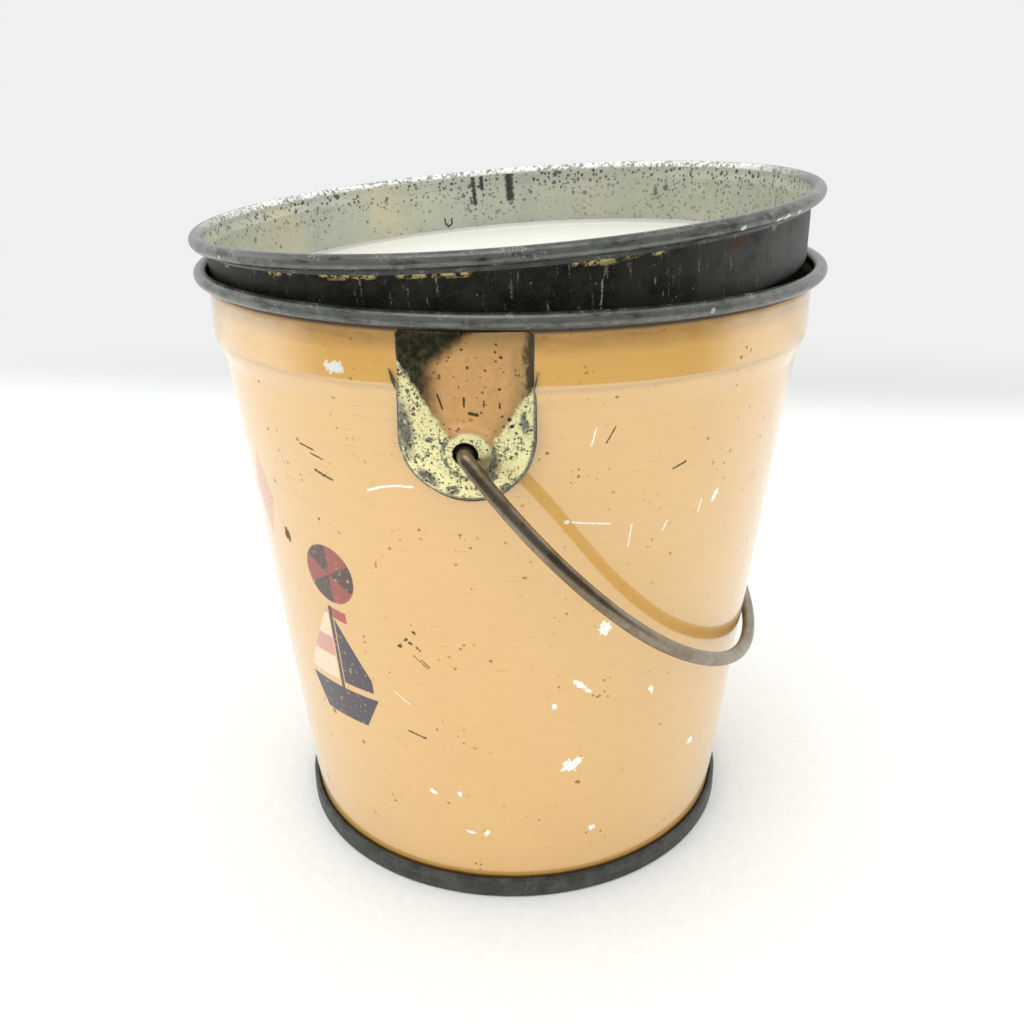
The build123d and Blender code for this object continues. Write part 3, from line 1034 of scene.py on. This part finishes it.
def make_base(lacquer, tin):
    """Bottom end: the seam's skirt, the countersink and the stepped panel."""
    half = sheet / 2
    skirt_r = seam_outer_r - half
    chuck_r = cone_r(cone_low_z) - sheet - half - seam_gap
    hook_r = cone_r(seam_height) + half + seam_gap
    top = seam_height - half
    corners = [
        (hook_r, top - seam_hook),
        (hook_r, top),
        (skirt_r, top),
        (skirt_r, half),
        (chuck_r, half),
        (chuck_r, panel_z),
        (panel_step_r + panel_step, panel_z),
        (panel_step_r, panel_z + panel_step),
        (0, panel_z + panel_step),
    ]
    path = rounded(corners, (0.25, 0.25, 0.4, 0.4, 0.6, 0.6, 0.6), longest=4.0)

    def choose(side, radius, height, order):
        return 1 if side == "right" and radius < chuck_r - 1 else 0

    def ripple(angles, radius, z):
        if radius <= chuck_r:
            return 0
        return base_dent * (0.5 + 0.5 * np.sin(7 * angles + 1) * np.sin(12 * angles))

    return lathe("bottom_end_sheet", path, (lacquer, tin), choose, ripple)


def lid_frame():
    """The lid's own frame: its axis is tilted towards the low side."""
    tilt, side = radians(lid_tilt), radians(lid_high_side)
    normal = Vector((-sin(tilt) * cos(side), -sin(tilt) * sin(side), cos(tilt)))
    turn = Vector((0, 0, 1)).rotation_difference(normal).to_matrix().to_4x4()
    return Matrix.Translation(Vector(lid_centre) * MM) @ turn


def make_lid(outside, rim, inside, flaked):
    """Lid pan: flat floor, wall and rolled rim, with a slight crease under the roll."""
    half = sheet / 2
    corners = [
        (0, -lid_floor_depth),
        (lid_wall_low_r - half, -lid_floor_depth),
        (lid_wall_top_r - half, -rim_depth),
    ]
    path = rounded(corners, (lid_corner_r,), longest=2.2)
    path = path + rolled_rim(lid_wall_top_r - half, lid_ring_r, 0)[1:]

    def choose(side, radius, height, order):
        if side == "left":
            if radius > lid_ring_r - 0.1:
                return 1
            return 3 if height > -0.1 else 2
        return 1 if height > -1.35 else 0

    def ripple(angles, radius, z):
        dents = lid_dent * (0.5 + 0.5 * np.sin(4 * angles + 1.2) * np.sin(7 * angles + 0.3 + z / 9))
        uneven = 0.5 + 0.5 * np.sin(23 * angles) * np.sin(9 * angles)
        crease = lid_crease * np.exp(-(((z + 2.3) / 0.5) ** 2)) * uneven
        return dents * min(1, radius / 40) + crease

    return lathe("lid_pan_sheet", path, (outside, rim, inside, flaked), choose, ripple, lid_frame())


def ear_face(x, z):
    """Distance of the ear's outer face from the axis, measured along y."""
    foot = Vector((ear_dome_r - ear_dome_drop, ear_bottom_z - 1))
    top = Vector((ear_face_r, shoulder_high_z + 1))
    fall = ear_dome_z - foot.y
    bow = (ear_dome_drop**2 + fall**2) / (2 * ear_dome_drop)
    if z >= top.y:
        radius = ear_face_r
    elif z >= ear_dome_z:
        part = (z - ear_dome_z) / (top.y - ear_dome_z)
        radius = ear_dome_r + (ear_face_r - ear_dome_r) * part
    else:
        radius = ear_dome_r - bow + (bow**2 - (ear_dome_z - z) ** 2) ** 0.5
    return (radius**2 - x**2) ** 0.5


def ear_relief(x, z, edge):
    """How far the face lies inside its smooth shape: the pressed flanks and the groove round the boss."""
    from_hole = hypot(x - 0.2, z - hole_z)
    fade = 1 if z < 84 else np.exp(-((z - 84) ** 2))
    groove = boss_groove * np.exp(-(((from_hole - boss_r) / 0.55) ** 2)) * fade
    centre = 1 / (1 + np.exp((abs(x) - 4.6) / 0.35))
    flank = flank_press * (1 - centre) * min(1, max(0, (z - 82) / 4))
    fall = edge_fall * np.exp(-edge / 0.45)
    return groove + flank + fall


def ear_reach(angle):
    """Distance from the hole to the ear's outline in a direction."""
    half = ear_w / 2
    dx, dz = cos(angle), sin(angle)
    best = half / max(abs(dx), 1e-9)
    if dz > 0:
        best = min(best, (ear_top_z - hole_z) / dz)
    # Below the centre of its round foot the outline is that circle
    lift = hole_z - (ear_bottom_z + half)
    round_foot = -lift * dz + ((lift * dz) ** 2 - lift**2 + half**2) ** 0.5
    if lift + round_foot * dz < 0:
        best = min(best, round_foot)
    return best


def make_ear(name, finish, turn):
    """Ear of pressed tin: a face from the hole to the outline, a turned-back skirt and its thickness."""
    rays, rings = ((240, 44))
    corner = atan2(ear_top_z - hole_z, ear_w / 2)
    angles = sorted({2 * pi * k / rays for k in range(rays)} | {corner, pi - corner})
    count = len(angles)
    grid = []
    for ring in range(rings + 1):
        part = ring / rings
        for angle in angles:
            reach = ear_reach(angle)
            away = hole_r + (reach - hole_r) * part**1.15
            x, z = away * cos(angle), hole_z + away * sin(angle)
            edge = reach - away
            if z > ear_top_z - 1.5:
                edge = max(edge, ear_w / 2 - abs(x))
            grid.append((x, z, ear_face(x, z) - ear_relief(x, z, edge)))
    points = [(x, -depth, z) for x, z, depth in grid]
    rim = grid[-count:]
    for depth_step in ear_skirt:
        for x, z, depth in rim:
            wall = neck_r if z > shoulder_high_z else cone_r(z)
            gap = max(0.0, depth - (wall**2 - x**2) ** 0.5 - ear_wall_gap)
            points.append((x, -depth + min(gap, depth_step), z))
    faces = []
    for ring in range(rings + len(ear_skirt)):
        for k in range(count):
            n = (k + 1) % count
            a, b = ring * count, (ring + 1) * count
            faces.append((a + k, b + k, b + n, a + n))
    ear = make_mesh(name, points, faces, [finish], matrix=Matrix.Rotation(radians(turn), 4, "Z"))
    solid = ear.modifiers.new("thickness", "SOLIDIFY")
    solid.thickness = ear_sheet * MM * 0.9
    solid.offset = -1
    solid.use_even_offset = False
    return ear


def make_spurs(name, finish, turn):
    """The two small folded corners that stand out from an ear's sides at the shoulder."""
    outline = [(9.05, 88.5), (9.5, 89.5), (9.75, 90.9), (9.35, 90.1), (9.0, 89.3)]
    outline = [(spur_root, 88.0), *outline, (spur_root, 89.0)]
    reach = {-1: 1.0, 1: 0.5}
    count = len(outline)
    points, faces = [], []
    for side in (-1, 1):
        first = len(points)
        for depth in (0.02, 0.32):
            for x, z in outline:
                out = spur_root + (x - spur_root) * reach[side]
                points.append((side * out, depth - ear_face(out, z), z))
        front = [first + k for k in range(count)]
        back = [first + count + k for k in range(count)]
        faces.append(tuple(front if side > 0 else reversed(front)))
        faces.append(tuple(reversed(back) if side > 0 else back))
        for k in range(count):
            n = (k + 1) % count
            wall = (front[n], front[k], back[k], back[n])
            faces.append(wall if side > 0 else tuple(reversed(wall)))
    return make_mesh(name, points, faces, [finish], matrix=Matrix.Rotation(radians(turn), 4, "Z"))


def bail_route():
    """Half of the bail's centre line as (s, y) from the apex to the tip, s away from the hinge."""
    crown = arc((apex_s - crown_r, 0), crown_r, 0, crown_half_angle, 1.6)
    angle = radians(crown_half_angle)
    joint = crown[-1]
    centre = (joint[0] - side_r * cos(angle), joint[1] - side_r * sin(angle))
    side = arc(centre, side_r, crown_half_angle, 90 + leg_lean - crown_half_angle, 2.0)
    down = radians(180 + leg_lean)
    bend_turn = radians(90 - leg_lean)
    tangent = bend_r * tan(bend_turn / 2)
    start = side[-1]
    length = start[0] / cos(radians(leg_lean)) - tangent
    spans = [length * i / 9 for i in range(10)]
    leg = [(start[0] + span * cos(down), start[1] + span * sin(down)) for span in spans]
    end = leg[-1]
    hub = (end[0] - bend_r * sin(down), end[1] + bend_r * cos(down))
    first = degrees(atan2(end[1] - hub[1], end[0] - hub[0]))
    bend = arc(hub, bend_r, first, degrees(bend_turn), 5)
    tip = [(0, bend[-1][1] + (tip_y - bend[-1][1]) * i / 3) for i in range(1, 4)]
    return crown + side[1:] + leg[1:] + bend[1:] + tip


def make_bail(finish):
    """The bail: a slightly uneven wire; its flattened button ends inside the pail are made by make_buttons.
    """
    half = bail_route()
    flat = [(s, -y) for s, y in reversed(half)] + half[1:]
    hang = radians(hang_angle)
    route = [(s * sin(hang), y, hole_z - s * cos(hang)) for s, y in flat]
    steps = [0.0] + [(Vector(b) - Vector(a)).length for a, b in zip(route, route[1:])]
    along = np.cumsum(steps)
    radii = [bail_wire_r * (0.985 + 0.01 * sin(0.45 * mm) * sin(0.13 * mm)) for mm in along]
    return tube("bail_wire", route, radii, finish, 32)


def make_buttons(finish):
    """Flattened, domed ends of the bail, one inside each ear."""
    outer = [(0, 0.0), (0.7, 0.0), (0.92, 0.12), (1.0, 0.35)]
    profile = [*outer, (1.0, 0.65), (0.9, 0.9), (0.6, 1.0), (0, 1.0)]
    made = []
    for side in (-1, 1):
        points, faces, count = [], [], 40
        for reach, depth in profile:
            for k in range(count):
                angle = 2 * pi * k / count
                y = side * (tip_y - button_t / 4 - depth * button_t + button_t)
                out = reach * button_r * (1 - 0.04 * (1 + sin(3 * angle + side)) / 2)
                points.append((out * cos(angle), y, hole_z + out * sin(angle)))
        for i in range(len(profile) - 1):
            for k in range(count):
                n = (k + 1) % count
                a, b = i * count, (i + 1) * count
                faces.append((a + k, a + n, b + n, b + k))
        name = "bail_button_front" if side < 0 else "bail_button_rear"
        piece = make_mesh(name, points, faces, [finish])
        weld = piece.modifiers.new("weld", "WELD")
        weld.merge_threshold = 0.01 * MM
        made.append(piece)
    return made


# ---- stage
def make_floor():
    """A pale floor that runs out behind the object."""
    near, half = -1400, 1500
    points = [(-half, near, 0), (half, near, 0), (half, floor_far, 0), (-half, floor_far, 0)]
    floor = make_mesh("floor", points, [(0, 1, 2, 3)], [floor_paper()])


def make_world():
    """Pale surroundings, dimmest at the foot of the backdrop and brighter overhead."""
    world = bpy.data.worlds.new("studio")
    world.use_nodes = True
    bpy.context.scene.world = world
    tree = world.node_tree
    direction = add_node(tree, "TexCoord", {}).outputs["Generated"]
    up = Field(tree, add_node(tree, "SeparateXYZ", {0: direction}).outputs[2])
    backdrop = up.above(sin(radians(-14.2)), 0.035)
    sky = up.above(0.26, 0.2)
    dim, backdrop_gain, sky_gain = 0.765, 0.115, 0.45
    light = dim + backdrop * backdrop_gain + sky * sky_gain
    background = tree.nodes["Background"]
    connect(tree, (0.985, 1.0, 0.99, 1), background.inputs["Color"])
    connect(tree, light, background.inputs["Strength"])


def make_dark_card():
    """A dark curved card round the front, seen only in reflections, as the room past the table is."""
    away, low, high, steps = 230, 1, 320, 32
    left, right = radians(-82), radians(96)
    points, faces = [], []
    for k in range(steps + 1):
        a = left + (right - left) * k / steps
        points += [(away * sin(a), -away * cos(a), low), (away * sin(a), -away * cos(a), high)]
    for k in range(steps):
        faces.append((2 * k, 2 * k + 1, 2 * k + 3, 2 * k + 2))
    dark = Finish("dark_card")
    dark.go_round(1)
    dark.wear((0.03, 0.03, 0.03), 0.0, 0.9)
    dark.fade_out(dark.run.below(-68, 14) | dark.run.above(82, 14))
    card = make_mesh("dark_card", points, faces, [dark.material])
    card.visible_camera = False
    card.visible_shadow = False
    card.visible_diffuse = False


def area_light(name, azimuth, elevation, distance, size, power):
    """A square light aimed at the middle of the object."""
    light = bpy.data.lights.new(name, "AREA")
    light.size = size
    light.energy = power
    lamp = bpy.data.objects.new(name, light)
    bpy.context.scene.collection.objects.link(lamp)
    a, e = radians(azimuth), radians(elevation)
    back = Vector((sin(a) * cos(e), -cos(a) * cos(e), sin(e)))
    lamp.location = Vector((0, 0, middle_z * MM)) + back * distance
    lamp.rotation_mode = "QUATERNION"
    lamp.rotation_quaternion = (-back).to_track_quat("-Z", "Y")


def make_camera():
    """The camera where the picture was taken from."""
    azimuth, away, height = 7.1, 177.84, 125.04
    pitch, roll, yaw = 22.138, -0.449, 0.017
    lens = bpy.data.cameras.new("camera")
    lens.lens = 37.69
    lens.sensor_width = 36
    lens.clip_start, lens.clip_end = 0.005, 20
    camera = bpy.data.objects.new("camera", lens)
    bpy.context.scene.collection.objects.link(camera)
    a = radians(azimuth)
    camera.location = Vector((away * sin(a), -away * cos(a), height)) * MM
    turn = (
        Matrix.Rotation(a + radians(yaw), 3, "Z")
        @ Matrix.Rotation(radians(90 - pitch), 3, "X")
        @ Matrix.Rotation(radians(roll), 3, "Z")
    )
    camera.rotation_mode = "QUATERNION"
    camera.rotation_quaternion = turn.to_quaternion()
    bpy.context.scene.camera = camera


# ---- assembly
def dress(name, finish):
    """Gives a CAD node that stays in view its own finish."""
    mesh = nodes[name].data
    mesh.materials.clear()
    mesh.materials.append(finish)


tin = inner_tin()
lacquer = black_lacquer()
steel = plain_steel()
solder = soft_solder()
wire_finish = bail_steel("bail_steel", 0.0)

wall = make_wall(peach_enamel(), rolled_lacquer("pail_rim_lacquer", pail_ring_r), tin)
base = make_base(lacquer, tin)
rim_chips = [(37.7, -0.5, 1.0, 0.6), (45.3, -0.6, 1.1, 0.5), (47.2, -0.5, 1.8, 0.5), (50.6, -0.4, 0.9, 0.5)]
lid_rim = rolled_lacquer("lid_rim_lacquer", lid_ring_r, lid_frame(), rim_chips)
lid = make_lid(lid_outside_lacquer(), lid_rim, lid_inside_tin(), flaked_rim())
front_tin, rear_tin = ear_tin("front_ear_tin", 0), ear_tin("rear_ear_tin", 20)
front_ear = make_ear("front_ear_tin", front_tin, 0)
rear_ear = make_ear("rear_ear_tin", rear_tin, 180)
front_spurs = make_spurs("front_ear_spurs", front_tin, 0)
rear_spurs = make_spurs("rear_ear_spurs", rear_tin, 180)
bail = make_bail(wire_finish)
# The buttons are painted near black as shade, since they sit in shadow behind the ears.
buttons = make_buttons(bail_steel("button_steel", 0.9))

for piece, body, node, slot in (
    (wall, "pail", "pail_wall", "peach_enamel"),
    (base, "pail", "bottom_end", "black_lacquer"),
    (front_ear, "pail", "front_ear", "bare_tinplate"),
    (rear_ear, "pail", "rear_ear", "bare_tinplate"),
    (front_spurs, "pail", "front_ear", "bare_tinplate"),
    (rear_spurs, "pail", "rear_ear", "bare_tinplate"),
    (lid, "lid", "lid_pan", "black_lacquer"),
    (bail, "bail", "bail", "bail_steel"),
    (buttons[0], "bail", "bail", "bail_steel"),
    (buttons[1], "bail", "bail", "bail_steel"),
):
    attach(piece, body)
    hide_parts(node)

for name, finish in (
    ("side_seam_solder", solder),
    ("front_ear_solder", solder),
    ("rear_ear_solder", solder),
    ("pail_rim_wire", steel),
    ("lid_rim_wire", steel),
):
    dress(name, finish)

make_floor()
make_world()
make_dark_card()
area_light("overhead", azimuth=-20, elevation=72, distance=1.0, size=0.7, power=2.2)
area_light("key", azimuth=-38, elevation=20, distance=0.9, size=0.5, power=0.6)
make_camera()
bpy.context.scene.view_settings.view_transform = "Standard"
